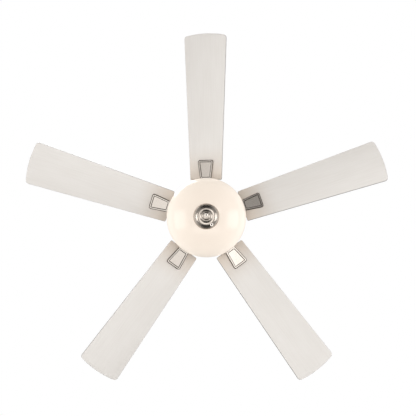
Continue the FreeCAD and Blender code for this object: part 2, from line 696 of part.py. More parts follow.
def blade_iron(index):
    foot_top = MOTOR_END_Z - 3 * SNUG
    foot_end = foot_top - FOOT_THICKNESS
    foot = block((FOOT_INNER_R, FOOT_OUTER_R), (-FOOT_HALF_WIDTH, FOOT_HALF_WIDTH), (foot_end, foot_top))
    inner_corners = [e for e in foot.Edges if e.BoundBox.ZLength > FOOT_THICKNESS / 2
                     and e.BoundBox.XMax < FOOT_INNER_R + 1]
    foot = foot.makeFillet(6.0, inner_corners)
    seat = -BLADE_THICKNESS / 2 - IRON_SEAT
    under = seat - IRON_THICKNESS
    plate = trapezoid(IRON_START_R, IRON_END_R, IRON_END_HALF_WIDTH, under, seat)
    plate = rounded_ends(plate, IRON_CORNER_R, IRON_END_R - 1)
    panel_half = IRON_END_HALF_WIDTH - IRON_RIM + IRON_TAPER * IRON_RIM
    recess = trapezoid(IRON_START_R + 12.0, IRON_END_R - IRON_RIM, panel_half - IRON_TAPER * IRON_RIM,
                       under - 1, under + IRON_RECESS)
    recess = rounded_ends(recess, IRON_CORNER_R * 0.4, IRON_END_R - IRON_RIM - 1)
    plate = plate.cut(recess)
    plate.rotate(ORIGIN, X, -BLADE_PITCH)
    plate.translate(point(0, 0, BLADE_PLANE_Z))
    foot_mid = (foot_top + foot_end) / 2
    plate_mid = BLADE_PLANE_Z + (seat + under) / 2 * math.cos(math.radians(BLADE_PITCH))
    plate_half = IRON_END_HALF_WIDTH - IRON_TAPER * (IRON_END_R - IRON_START_R)
    sections = [
        arm_section(FOOT_OUTER_R - 4.0, FOOT_HALF_WIDTH - 2.0, FOOT_THICKNESS, foot_mid, 0),
        arm_section(FOOT_OUTER_R + 8.0, FOOT_HALF_WIDTH - 7.0, FOOT_THICKNESS + 0.6, foot_mid - 1.0, 0),
        arm_section(ROOT_R - ARM_SETBACK, plate_half - 3.0, IRON_THICKNESS, plate_mid, -BLADE_PITCH),
        arm_section(IRON_START_R + 3.0, plate_half, IRON_THICKNESS, plate_mid, -BLADE_PITCH),
    ]
    arm = Part.makeLoft(sections, True, True)
    over = block((ROOT_R - 1.0, TIP_R), (-TIP_HALF_WIDTH, TIP_HALF_WIDTH), (seat, seat + 40.0))
    over.rotate(ORIGIN, X, -BLADE_PITCH)
    over.translate(point(0, 0, BLADE_PLANE_Z))
    arm = arm.cut(over)
    shape = foot.fuse(arm).fuse(plate)
    tools = [post(LARGE_SCREW[0] + FREE / 2, foot_end - 1, foot_top + 1, place.x, place.y)
             for place in iron_screw_places()]
    for x, y in BLADE_SCREWS:
        blind = post(LARGE_SCREW[0] + FIT, seat - (IRON_THICKNESS - IRON_RECESS) + 1.0, seat + 1, x, y)
        blind.rotate(ORIGIN, X, -BLADE_PITCH)
        blind.translate(point(0, 0, BLADE_PLANE_Z))
        tools.append(blind)
    return around(cut_all(shape, tools), FIRST_BLADE_ANGLE + 360.0 * index / BLADE_COUNT)


def iron_screws():
    seat_z = MOTOR_END_Z - 3 * SNUG - FOOT_THICKNESS - SNUG
    made = [screw(LARGE_SCREW, point(place.x, place.y, MOTOR_END_Z + MOTOR_WALL - 0.4),
                  point(place.x, place.y, seat_z)) for place in iron_screw_places()]
    return group([one for each in made for one in ring_of(each, BLADE_COUNT, FIRST_BLADE_ANGLE)])


# ---- switch housing ----

def switch_plate():
    outer_r = SWITCH_R - SWITCH_WALL - 0.4
    shape = spun(SWITCH_PLATE_WALL, (SHAFT_R + SNUG, SWITCH_TOP_Z), (outer_r, SWITCH_TOP_Z),
                 (outer_r, SWITCH_TOP_Z - 9.0))
    hole = bar(SMALL_SCREW[0] + FIT, point(outer_r - 5, 0, SWITCH_TOP_Z - 5),
               point(outer_r + 5, 0, SWITCH_TOP_Z - 5))
    return cut_all(shape, ring_of(hole, 3, 30.0))


def switch_plate_nut():
    high = SWITCH_TOP_Z - SWITCH_PLATE_WALL - SNUG
    return hex_nut(high - NUT_HEIGHT, NUT_HEIGHT, SHAFT_R + 5.5, SHAFT_R + FIT)


def pan_screw_places():
    return [(KIT_SCREW_R * math.cos(math.radians(angle)), KIT_SCREW_R * math.sin(math.radians(angle)))
            for angle in KIT_SCREW_ANGLES]


def switch_housing():
    top, end = SWITCH_TOP_Z - 0.5, SWITCH_END_Z
    side, floor = (SWITCH_R, end + SWITCH_ROUND), (SWITCH_R - SWITCH_ROUND, end)
    shape = spun(SWITCH_WALL, (SWITCH_R, top), side, quarter(side, floor), (14.0, end))
    side_hole = bar(SMALL_SCREW[0] + FREE / 2, point(SWITCH_R - 5, 0, SWITCH_TOP_Z - 5),
                    point(SWITCH_R + 5, 0, SWITCH_TOP_Z - 5))
    slot_half = SLIDER_HALF_WIDTH + SLIDER_TRAVEL + 1.0
    tools = ring_of(side_hole, 3, 30.0)
    tools += [post(SMALL_SCREW[0] + FIT, end - 2, end + 4, x, y) for x, y in pan_screw_places()]
    tools.append(post(nozzle_r() + FIT, end - 2, end + 4, FAN_CHAIN_X, FAN_CHAIN_Y))
    tools.append(block((-slot_half, slot_half), (SWITCH_R - 6, SWITCH_R + 4),
                       (slider_z() - 2.6, slider_z() + 2.6)))
    return cut_all(shape, tools)


def kit_screws():
    side = screw(SMALL_SCREW, point(SWITCH_R - 8.0, 0, SWITCH_TOP_Z - 5),
                 point(SWITCH_R + SNUG, 0, SWITCH_TOP_Z - 5))
    up = [screw(SMALL_SCREW, point(x, y, SWITCH_END_Z + 5.0), point(x, y, PAN_UNDER_Z - SNUG))
          for x, y in pan_screw_places()]
    return group(ring_of(side, 3, 30.0) + up)


def nozzle_r():
    return CHAIN_HOLE_R + 1.0


def pull_switch(x, y, size, z_low, z_high, nozzle_end_z):
    half_x, half_y = size
    body = block((x - half_x, x + half_x), (y - half_y, y + half_y), (z_low, z_high))
    body = body.makeFillet(1.5, [e for e in body.Edges if e.BoundBox.ZLength > 1])
    nozzle = post(nozzle_r(), nozzle_end_z, z_low, x, y)
    bore = post(CHAIN_HOLE_R, nozzle_end_z, z_low, x, y)
    return body.fuse(nozzle).cut(bore).removeSplitter()


def fan_switch():
    half = (FAN_SWITCH_HALF, FAN_SWITCH_HALF)
    return pull_switch(FAN_CHAIN_X, FAN_CHAIN_Y, half, CHAIN_TOP_Z + 0.3,
                       SWITCH_TOP_Z - 5.0, PAN_UNDER_Z - 2.5)


def light_switch():
    return pull_switch(0, 0, LIGHT_SWITCH_HALF, CHAIN_TOP_Z + 0.3, SHAFT_END_Z - 2.0, CHAIN_TOP_Z)


def capacitor():
    case = block(CAPACITOR_X, CAPACITOR_Y, (SWITCH_END_Z + 4.0, SWITCH_TOP_Z - 5.0))
    return case.makeFillet(2.0, [e for e in case.Edges if e.BoundBox.ZLength > 1])


def slider_z():
    return SWITCH_TOP_Z - 16.0


def reverse_switch():
    y_front = SWITCH_R - SWITCH_WALL - 3.0
    return block((-9.0, 9.0), (y_front - 10.0, y_front), (slider_z() - 4.5, slider_z() + 4.5))


def reverse_slider():
    y_back = SWITCH_R - SWITCH_WALL - 2.6
    tab = block((-SLIDER_HALF_WIDTH, SLIDER_HALF_WIDTH), (y_back, SWITCH_R + 2.5),
                (slider_z() - 1.8, slider_z() + 1.8))
    outer = [e for e in tab.Edges if e.BoundBox.YMin > SWITCH_R + 2]
    return tab.makeFillet(0.6, outer)


# ---- light kit ----

def light_pan():
    end_z = PAN_TOP_Z - PAN_SKIRT
    crown, brow = (PAN_R - PAN_ROUND, PAN_TOP_Z), (PAN_R, PAN_TOP_Z - PAN_ROUND)
    shape = spun(PAN_WALL, (STEM_R + SNUG, PAN_TOP_Z), crown, quarter(crown, brow), (PAN_R, end_z))
    tools = [post(SMALL_SCREW[0] + FREE / 2, PAN_UNDER_Z - 1, PAN_TOP_Z + 1, x, y)
             for x, y in pan_screw_places()]
    tools.append(post(nozzle_r() + FIT, PAN_UNDER_Z - 1, PAN_TOP_Z + 1, FAN_CHAIN_X, FAN_CHAIN_Y))
    return cut_all(shape, tools)


def center_stem():
    end_z = FINIAL_TOP_Z - FINIAL_SOCKET + 1.0
    return post(STEM_R, end_z, STEM_TOP_Z).cut(post(STEM_BORE_R, end_z, STEM_TOP_Z))


def bracket_top_z():
    return PAN_UNDER_Z - NUT_HEIGHT - 2 * SNUG


def stem_nuts():
    lows = (PAN_TOP_Z + SNUG, PAN_UNDER_Z - NUT_HEIGHT - SNUG, bracket_top_z() - 2.0 - NUT_HEIGHT - SNUG)
    return group([hex_nut(low, NUT_HEIGHT, NUT_R, STEM_R + FIT) for low in lows])


def lamp_bracket():
    top = bracket_top_z()
    leg_x = LAMP_HOLDER_X - 2 * SNUG
    shape = block((-leg_x, leg_x), (-15.0, 15.0), (top - 2.0, top))
    for side in (-1, 1):
        leg = sorted((side * leg_x, side * (leg_x - 2.0)))
        shape = shape.fuse(block(leg, (-15.0, 15.0), (LAMP_Z - 15.0, top)))
    return shape.cut(post(STEM_R + FIT, top - 3, top + 1)).removeSplitter()


def along_x(shape):
    """Turns a shape drawn up +Z from the origin to lie along +X at the lamps' height."""
    placed = shape.copy()
    placed.rotate(ORIGIN, Y, 90)
    placed.translate(point(0, 0, LAMP_Z))
    return placed


def lamp_holders():
    start, end = LAMP_HOLDER_X, LAMP_HOLDER_X + LAMP_HOLDER_LENGTH
    body = turned((0, start), (LAMP_HOLDER_R - 3.0, start), (LAMP_HOLDER_R, start + 6.0),
                  (LAMP_HOLDER_R, end), (LAMP_CAP_R + 5 * SNUG, end), (LAMP_CAP_R + 5 * SNUG, start + 6.0),
                  (0, start + 6.0))
    return group(ring_of(along_x(body), 2))


def lamps():
    """Screw cap and glass of each lamp, one lamp a solid."""
    mouth = LAMP_HOLDER_X + LAMP_HOLDER_LENGTH
    cap_start = mouth - 26.0
    widest = mouth + 34.0
    wall = LAMP_GLASS
    tip = widest + LAMP_R
    slope = math.sqrt(0.5)
    body = turned((0, cap_start), (LAMP_CAP_R, cap_start + 3.0), (LAMP_CAP_R, mouth + 1.0),
                  ((LAMP_R - 3.0, mouth + 15.0), (LAMP_R, widest)),
                  ((LAMP_R * slope, widest + LAMP_R * slope), (0, tip)),
                  (0, tip - wall),
                  (((LAMP_R - wall) * slope, widest + (LAMP_R - wall) * slope),
                   (LAMP_R - wall, widest)),
                  ((LAMP_R - 3.0 - wall, mouth + 15.4), (LAMP_CAP_R - wall, mouth + 1.0)),
                  (LAMP_CAP_R - wall, cap_start + 6.0), (4.0, cap_start + 6.0), (4.0, mouth + 20.0),
                  (0, mouth + 22.0))
    return group(ring_of(along_x(body), 2))


def glass_bowl():
    sag_angle = math.atan2(BOWL_R - BOWL_SHOULDER_R, BOWL_SAG_Z - BOWL_WIDEST_Z)
    shoulder_x = BOWL_R - BOWL_SHOULDER_R

    def shoulder(angle):
        return (shoulder_x + BOWL_SHOULDER_R * math.sin(angle),
                BOWL_WIDEST_Z - BOWL_SHOULDER_R * math.cos(angle))

    def sag(r):
        return (r, BOWL_SAG_Z - math.sqrt(BOWL_SAG_R ** 2 - r ** 2))

    meet = shoulder(sag_angle)
    return spun(BOWL_WALL, (BOWL_RIM_R, BOWL_RIM_Z),
                ((BOWL_R - 1.0, BOWL_WIDEST_Z + BOWL_RIM_HEIGHT / 2), (BOWL_R, BOWL_WIDEST_Z)),
                (shoulder((sag_angle + math.pi / 2) / 2), meet),
                (sag((meet[0] + BOWL_HOLE_R) / 2), sag(BOWL_HOLE_R)))


def bowl_gasket():
    high = BOWL_HOLE_Z - SNUG
    return post(CAP_R - 0.3, high - GASKET, high).cut(post(BOWL_HOLE_R + 0.3, high - GASKET, high))


def bowl_cap():
    """The spun cup under the bowl, with the fan chain's hole in its shoulder."""
    shape = spun(CAP_WALL, (CAP_R, CAP_TOP_Z), (CAP_R, CAP_TOP_Z - 5.0),
                 ((CAP_R - 4.6, CAP_END_Z + 6.0), (FINIAL_TIER_R + 3.0, CAP_END_Z)),
                 (STEM_R + 4.0, CAP_END_Z))
    return shape.cut(post(FERRULE_R + FIT, CAP_END_Z - 5, CAP_TOP_Z + 5, FAN_CHAIN_X, FAN_CHAIN_Y))


def finial():
    top, end = FINIAL_TOP_Z, FINIAL_END_Z
    return turned((STEM_R + FIT, top), (FINIAL_TIER_R, top), (FINIAL_TIER_R, top - 3.0),
                  ((FINIAL_TIER_R - 2.6, top - 7.4), (FINIAL_KNOB_R, top - 9.0)),
                  (FINIAL_KNOB_R, end + 11.0),
                  ((FINIAL_KNOB_R - 1.8, end + 6.0), (FINIAL_TIP_R, end + 3.0)),
                  (FINIAL_TIP_R, end), (CHAIN_HOLE_R, end), (CHAIN_HOLE_R, top - FINIAL_SOCKET),
                  (STEM_R + FIT, top - FINIAL_SOCKET))


def chain_ferrule():
    mid_z = CAP_END_Z + 9.0
    sleeve = post(FERRULE_R, mid_z - 7.0, mid_z + 5.0, FAN_CHAIN_X, FAN_CHAIN_Y)
    return sleeve.cut(post(CHAIN_HOLE_R, mid_z - 7.0, mid_z + 5.0, FAN_CHAIN_X, FAN_CHAIN_Y))


# ---- pull chains ----

def chain(x, y, end_z):
    """The outer shape of a beaded chain that hangs straight."""
    return post(CHAIN_R, end_z, CHAIN_TOP_Z - 0.2, x, y)


def fob(x, y, top_z):
    end_z = top_z - FOB_LENGTH
    shape = turned((0, top_z), (CHAIN_R + 1.0, top_z), (CHAIN_R + 1.0, top_z - 2.5),
                   ((FOB_R - 1.2, top_z - 7.5), (FOB_R, end_z + 2.5)),
                   ((FOB_R - 0.7, end_z + 0.7), (FOB_R - 2.0, end_z)),
                   (CHAIN_HOLE_R, end_z), (CHAIN_HOLE_R, end_z + 6.0), (0, end_z + 6.0))
    shape.translate(point(x, y, 0))
    return shape


def save(name, shape):
    shape.exportStep(f"parts/{name}.step")


def main():
    os.makedirs("parts", exist_ok=True)
    pieces = {
        "hanger_bracket": hanger_bracket(), "canopy": canopy(),
        "canopy_screws": canopy_screws(), "ground_screw": ground_screw(),
        "hanger_ball": hanger_ball(), "hanger_pin": hanger_pin(), "downrod": downrod(),
        "motor_yoke": motor_yoke(), "clevis_pin": clevis_pin(), "hairpin_clip": hairpin_clip(),
        "set_screws": set_screws(), "coupling_cover": coupling_cover(),
        "motor_housing": motor_housing(), "housing_screws": housing_screws(),
        "motor_shaft": motor_shaft(), "bearing_inner_races": bearing_inner_races(),
        "rotor_bearings": rotor_bearings(), "rotor_top_cover": rotor_top_cover(),
        "rotor_bottom_cover": rotor_bottom_cover(), "rotor_ring": rotor_ring(),
        "rotor_screws": rotor_screws(), "stator_core": stator_core(),
        "stator_windings": stator_windings(), "iron_screws": iron_screws(),
        "blade_screws": blade_screws(), "blade_washers": blade_washers(),
        "switch_plate": switch_plate(), "switch_plate_nut": switch_plate_nut(),
        "switch_housing": switch_housing(), "kit_screws": kit_screws(),
        "fan_switch": fan_switch(), "light_switch": light_switch(),
        "capacitor": capacitor(), "reverse_switch": reverse_switch(),
        "reverse_slider": reverse_slider(), "light_pan": light_pan(),
        "center_stem": center_stem(), "stem_nuts": stem_nuts(),
        "lamp_bracket": lamp_bracket(), "lamp_holders": lamp_holders(), "lamps": lamps(),
        "glass_bowl": glass_bowl(), "bowl_gasket": bowl_gasket(), "bowl_cap": bowl_cap(),
        "finial": finial(), "chain_ferrule": chain_ferrule(),
        "light_chain": chain(0, 0, LIGHT_CHAIN_END_Z), "light_fob": fob(0, 0, LIGHT_CHAIN_END_Z),
        "fan_chain": chain(FAN_CHAIN_X, FAN_CHAIN_Y, FAN_CHAIN_END_Z),
        "fan_fob": fob(FAN_CHAIN_X, FAN_CHAIN_Y, FAN_CHAIN_END_Z),
    }
    for index in range(BLADE_COUNT):
        pieces[f"blade_{index + 1}"] = blade(index)
        pieces[f"blade_iron_{index + 1}"] = blade_iron(index)
    for name, shape in pieces.items():
        save(name, shape)


main()
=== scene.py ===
"""A five-blade ceiling fan with an opal bowl light, seen from below."""
import math

import bmesh
import bpy
from mathutils import Matrix, Vector


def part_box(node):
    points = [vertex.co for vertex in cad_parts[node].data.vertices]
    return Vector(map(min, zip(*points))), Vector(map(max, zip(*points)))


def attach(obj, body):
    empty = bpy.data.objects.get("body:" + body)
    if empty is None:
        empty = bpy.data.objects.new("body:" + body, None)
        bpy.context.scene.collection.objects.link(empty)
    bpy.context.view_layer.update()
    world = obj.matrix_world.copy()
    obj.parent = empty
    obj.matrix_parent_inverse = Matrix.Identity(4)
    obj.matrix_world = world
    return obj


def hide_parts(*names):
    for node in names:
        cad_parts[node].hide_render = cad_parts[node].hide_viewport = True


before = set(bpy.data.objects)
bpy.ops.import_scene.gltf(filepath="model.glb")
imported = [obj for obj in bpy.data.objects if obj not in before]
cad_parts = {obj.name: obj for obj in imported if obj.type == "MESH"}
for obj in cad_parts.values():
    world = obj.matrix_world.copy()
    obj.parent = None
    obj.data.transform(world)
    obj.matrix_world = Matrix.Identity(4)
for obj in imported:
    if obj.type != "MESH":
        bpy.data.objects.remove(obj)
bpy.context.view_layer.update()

MM = 0.001
BLADES = 5
FIRST_BLADE_ANGLE = 90.0
BLADE_PLANE_Z = -272.0
BLADE_PITCH = 12.5
LATHE_STEPS = 120


def cad(node):
    """A turned CAD node's outer radius, lowest and highest level, in millimetres."""
    low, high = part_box(node)
    return (high[0] - low[0]) / 2 / MM, low[2] / MM, high[2] / MM


# ---- camera ----

def make_camera():
    """Looks straight up at the fan from about 3.9 m under the blades, 3 degrees off its axis."""
    data = bpy.data.cameras.new("camera")
    data.lens = 95.2
    data.sensor_width = 36.0
    data.clip_end = 60.0
    camera = bpy.data.objects.new("camera", data)
    bpy.context.scene.collection.objects.link(camera)
    look_up = Matrix.Rotation(math.pi, 4, "Y")
    tilt = Matrix.Rotation(math.radians(-3.15), 4, "X")
    roll = Matrix.Rotation(math.radians(-0.31), 4, "Z")
    camera.matrix_world = Matrix.Translation((-0.006, -0.178, -4.161)) @ tilt @ look_up @ roll
    bpy.context.scene.camera = camera


make_camera()


# ---- colours and shader nodes ----

def linear(code):
    """An sRGB hex colour as linear red, green, blue and a full alpha."""
    channels = [int(code[i:i + 2], 16) / 255 for i in (1, 3, 5)]
    return [c / 12.92 if c <= 0.04045 else ((c + 0.055) / 1.055) ** 2.4 for c in channels] + [1.0]


def add(tree, kind, inputs=None, **settings):
    """Adds one node with its settings; each input is a value or the socket that feeds it."""
    made = tree.nodes.new("ShaderNode" + kind)
    for name, value in settings.items():
        setattr(made, name, value)
    for socket, value in (inputs or {}).items():
        if isinstance(value, bpy.types.NodeSocket):
            tree.links.new(value, made.inputs[socket])
        else:
            made.inputs[socket].default_value = value
    return made


def start_material(name):
    """A new material's tree and its surface shader."""
    made = bpy.data.materials.new(name)
    made.use_nodes = True
    return made, made.node_tree, made.node_tree.nodes["Principled BSDF"]


def shade(tree, shader, **inputs):
    """Sets or links the shader's own sockets; an underscore stands for a space."""
    for name, value in inputs.items():
        socket = shader.inputs[name.replace("_", " ")]
        if isinstance(value, bpy.types.NodeSocket):
            tree.links.new(value, socket)
        else:
            socket.default_value = value


def streaks(tree, vector, across_mm, along_mm, detail=3.0):
    """Noise drawn out along the vector's X: fine across, long along."""
    stretch = add(tree, "Mapping", {
        "Vector": vector, "Scale": (1 / (along_mm * MM), 1 / (across_mm * MM), 1 / (across_mm * MM))})
    return add(tree, "TexNoise", {
        "Vector": stretch.outputs["Vector"], "Scale": 1.0, "Detail": detail, "Roughness": 0.6})


def turned_vector(tree):
    """A vector for a turned part: distance round the axis, distance from it and height."""
    place = add(tree, "TexCoord")
    split = add(tree, "SeparateXYZ", {"Vector": place.outputs["Object"]})
    angle = add(tree, "Math", {0: split.outputs["Y"], 1: split.outputs["X"]}, operation="ARCTAN2")
    around = add(tree, "Math", {0: angle.outputs[0], 1: 0.05}, operation="MULTIPLY")
    squared = add(tree, "Math", {0: split.outputs["X"], 1: split.outputs["X"]}, operation="MULTIPLY")
    both = add(tree, "Math", {0: split.outputs["Y"], 1: split.outputs["Y"], 2: squared.outputs[0]},
               operation="MULTIPLY_ADD")
    radius = add(tree, "Math", {0: both.outputs[0]}, operation="SQRT")
    joined = add(tree, "CombineXYZ", {
        "X": around.outputs[0], "Y": radius.outputs[0], "Z": split.outputs["Z"]})
    return joined.outputs["Vector"]


def board_vector(tree):
    """The place on a blade or its iron: along it, across it and through it."""
    return add(tree, "Attribute", attribute_name="board").outputs["Vector"]


def brushed_nickel(name, vector_of, smear=0.55, dark="#ADA49B", pale="#C4BCB3"):
    """Nickel plate brushed and lacquered: a warm grey metal whose highlight smears across the
    brush lines. The lines are drawn three times coarser than real ones so that they show."""
    made, tree, shader = start_material(name)
    lines = streaks(tree, vector_of(tree), 0.5, 30.0)
    rough = add(tree, "MapRange", {
        "Value": lines.outputs["Fac"], "From Min": 0.3, "From Max": 0.7, "To Min": 0.19,
        "To Max": 0.29})
    tone = add(tree, "Mix", {
        "Factor": lines.outputs["Fac"], "A": linear(dark), "B": linear(pale)},
        data_type="RGBA")
    bump = add(tree, "Bump", {
        "Height": lines.outputs["Fac"], "Strength": 0.12, "Distance": 0.05 * MM})
    shade(tree, shader, Base_Color=tone.outputs["Result"], Metallic=1.0,
          Roughness=rough.outputs["Result"], Normal=bump.outputs["Normal"])
    if smear:
        lie = add(tree, "Tangent", direction_type="RADIAL", axis="Z")
        shade(tree, shader, Anisotropic=smear, Tangent=lie.outputs["Tangent"])
    return made


def silver_laminate():
    """Melamine laminate on fibreboard, printed a pale warm silver with a faint lengthwise grain:
    satin, with a broad soft highlight, and painted darker and warmer towards the root: painted shade and
    warm light from the bowl."""
    made, tree, shader = start_material("silver_laminate")
    board = board_vector(tree)
    grain = streaks(tree, board, 1.8, 90.0, 4.0)
    cloud = streaks(tree, board, 60.0, 160.0, 1.0)
    mixed = add(tree, "Math", {
        0: cloud.outputs["Fac"], 1: 0.5, 2: grain.outputs["Fac"]}, operation="MULTIPLY_ADD")
    tone = add(tree, "ValToRGB", {"Fac": mixed.outputs[0]})
    ramp = tone.color_ramp
    ramp.elements[0].position, ramp.elements[0].color = 0.45, linear("#D8D4CF")
    ramp.elements[1].position, ramp.elements[1].color = 1.0, linear("#E0DDD9")
    # Painted shade: the blade darkens and warms towards its root, next to the bowl.
    along = add(tree, "SeparateXYZ", {"Vector": board})
    root = add(tree, "MapRange", {"Value": along.outputs["X"], "From Min": 0.13, "From Max": 0.27},
               interpolation_type="SMOOTHSTEP")
    painted_root_shade = add(tree, "Mix", {"Factor": root.outputs["Result"], "A": linear("#EDE4DB"),
                             "B": linear("#FFFFFF")}, data_type="RGBA")
    warm = add(tree, "Mix", {"Factor": 1.0, "A": tone.outputs["Color"],
                             "B": painted_root_shade.outputs["Result"]}, data_type="RGBA", blend_type="MULTIPLY")
    bump = add(tree, "Bump", {"Height": grain.outputs["Fac"], "Strength": 0.08,
                              "Distance": 0.05 * MM})
    shade(tree, shader, Base_Color=warm.outputs["Result"], Roughness=0.38,
          Normal=bump.outputs["Normal"], IOR=1.5)
    return made


def edge_tape_and_painted_shade():
    """PVC edge tape round the blade, a little glossier than the laminate; its dark grey is partly the
    tape's own colour and partly painted shade, the shadow line along the blade's edge.
    """
    made, tree, shader = start_material("edge_tape_and_painted_shade")
    tape = streaks(tree, board_vector(tree), 1.0, 40.0)
    # Tape colour darkened as painted shade along the edge.
    tone = add(tree, "Mix", {
        "Factor": tape.outputs["Fac"], "A": linear("#67625D"), "B": linear("#7A756F")},
        data_type="RGBA")
    shade(tree, shader, Base_Color=tone.outputs["Result"], Roughness=0.32, IOR=1.5)
    return made


def opal_glass():
    """Blown opal glass, milky white with a soft shine and faintly clouded. The light of the lamps inside
    is painted light: an emitted glow, brighter towards the shoulder and beside the lamps."""
    made, tree, shader = start_material("opal_glass")
    place = add(tree, "TexCoord")
    lamp_x = cad("lamps")[0] * 0.62 * MM
    lamp_z = (cad("lamps")[1] + cad("lamps")[2]) / 2 * MM
    # Painted light: pools of glow round the two lamps.
    painted_lamp_glows = []
    for side in (-1, 1):
        gap = add(tree, "VectorMath", {
            0: place.outputs["Object"], 1: (side * lamp_x, 0.0, lamp_z)}, operation="DISTANCE")
        painted_lamp_glows.append(add(tree, "MapRange", {
            "Value": gap.outputs["Value"], "From Min": 0.04, "From Max": 0.17, "To Min": 1.0,
            "To Max": 0.0}, interpolation_type="SMOOTHSTEP"))
    glow = add(tree, "Math", {0: painted_lamp_glows[0].outputs["Result"], 1: painted_lamp_glows[1].outputs["Result"]},
               operation="ADD")
    seeds = add(tree, "TexNoise", {
        "Vector": place.outputs["Object"], "Scale": 25.0, "Detail": 2.0})
    low, high = (corner[2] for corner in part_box("glass_bowl"))
    height = add(tree, "SeparateXYZ", {"Vector": place.outputs["Object"]})
    # Painted light and shade: the glow grows towards the shoulder, near the lamps, and fades towards the
    # bottom.
    shoulder = add(tree, "MapRange", {
        "Value": height.outputs["Z"], "From Min": low, "From Max": low + 0.75 * (high - low)})
    cloud_and_painted_shoulder_glow = add(tree, "Math", {
        0: seeds.outputs["Fac"], 1: 0.08, 2: shoulder.outputs["Result"]}, operation="MULTIPLY_ADD")
    level = add(tree, "Math", {0: glow.outputs[0], 1: 0.25, 2: cloud_and_painted_shoulder_glow.outputs[0]},
                operation="MULTIPLY_ADD")
    light = add(tree, "ValToRGB", {"Fac": level.outputs[0]})
    ramp = light.color_ramp
    ramp.elements[0].position, ramp.elements[0].color = 0.0, linear("#A79D92")
    ramp.elements[1].position, ramp.elements[1].color = 1.0, linear("#C8C0B6")
    # The base stays a grey beige so that the painted glow carries most of the bowl's brightness.
    shade(tree, shader, Base_Color=linear("#B8AEA4"), Roughness=0.2, IOR=1.5,
          Emission_Color=light.outputs["Color"], Emission_Strength=1.0)
    return made


def metal(name, dark, light, roughness, grain_mm, metallic=1.0, bump_height=0.04):
    """A plain metal with an even fine grain, as it leaves the press, the plating or the mould."""
    made, tree, shader = start_material(name)
    place = add(tree, "TexCoord")
    grain = add(tree, "TexNoise", {
        "Vector": place.outputs["Object"], "Scale": 1 / (grain_mm * MM), "Detail": 3.0})
    tone = add(tree, "Mix", {"Factor": grain.outputs["Fac"], "A": linear(dark), "B": linear(light)},
               data_type="RGBA")
    rough = add(tree, "MapRange", {
        "Value": grain.outputs["Fac"], "From Min": 0.3, "From Max": 0.7,
        "To Min": roughness * 0.8, "To Max": roughness * 1.2})
    bump = add(tree, "Bump", {
        "Height": grain.outputs["Fac"], "Strength": 0.3, "Distance": bump_height * MM})
    shade(tree, shader, Base_Color=tone.outputs["Result"], Metallic=metallic,
          Roughness=rough.outputs["Result"], Normal=bump.outputs["Normal"])
    return made


def moulded(name, dark, light, roughness, grain_mm, ior, glow=0.0):
    """A moulded or fired surface: even colour with a fine spark texture or glaze ripple."""
    made = metal(name, dark, light, roughness, grain_mm, metallic=0.0)
    shader = made.node_tree.nodes["Principled BSDF"]
    shade(made.node_tree, shader, IOR=ior)
    if glow:
        shade(made.node_tree, shader, Emission_Color=linear(light), Emission_Strength=glow)
    return made


def copper_winding():
    """Enamelled copper wire: a glossy red-brown varnish over turns half a millimetre thick."""
    made, tree, shader = start_material("enamelled_copper")
    turns = add(tree, "TexWave", {
        "Vector": turned_vector(tree), "Scale": 0.16 / MM, "Distortion": 0.6, "Detail": 1.0},
        bands_direction="Y")
    tone = add(tree, "Mix", {
        "Factor": turns.outputs["Fac"], "A": linear("#5E2A12"), "B": linear("#B9683A")},
        data_type="RGBA")
    bump = add(tree, "Bump", {"Height": turns.outputs["Fac"], "Strength": 0.7,
                              "Distance": 0.3 * MM})
    shade(tree, shader, Base_Color=tone.outputs["Result"], Metallic=0.85, Roughness=0.28,
          Coat_Weight=0.6, Coat_Roughness=0.1, Normal=bump.outputs["Normal"])
    return made


def laminations():
    """Stacked electrical steel sheets, half a millimetre each, with dark insulated edges."""
    made, tree, shader = start_material("stacked_laminations")
    place = add(tree, "TexCoord")
    sheets = add(tree, "TexWave", {
        "Vector": place.outputs["Object"], "Scale": 0.32 / MM, "Distortion": 0.0},
        bands_direction="Z")
    tone = add(tree, "Mix", {
        "Factor": sheets.outputs["Fac"], "A": linear("#2C2C2E"), "B": linear("#6A6A6C")},
        data_type="RGBA")
    bump = add(tree, "Bump", {"Height": sheets.outputs["Fac"], "Strength": 0.5,
                              "Distance": 0.1 * MM})
    shade(tree, shader, Base_Color=tone.outputs["Result"], Metallic=0.7, Roughness=0.5,
          Normal=bump.outputs["Normal"])
    return made


NICKEL = brushed_nickel("brushed_nickel_turned", turned_vector)
NICKEL_KNOB = brushed_nickel("brushed_nickel_knob", turned_vector, smear=0.2)
NICKEL_IRON = brushed_nickel("brushed_nickel_iron", board_vector, smear=0.0,
                             dark="#A39C95", pale="#BAB4AD")
LAMINATE = silver_laminate()
EDGE_AND_SHADE = edge_tape_and_painted_shade()
OPAL = opal_glass()
ZINC = metal("zinc_plated_steel", "#9FA3A6", "#C2C5C7", 0.34, 1.2)
SCREW_STEEL = metal("nickel_plated_screw", "#A29C95", "#C9C3BC", 0.26, 0.4)
CAST = metal("die_cast_aluminium", "#9C9C9E", "#B9B9BA", 0.5, 1.0, bump_height=0.1)
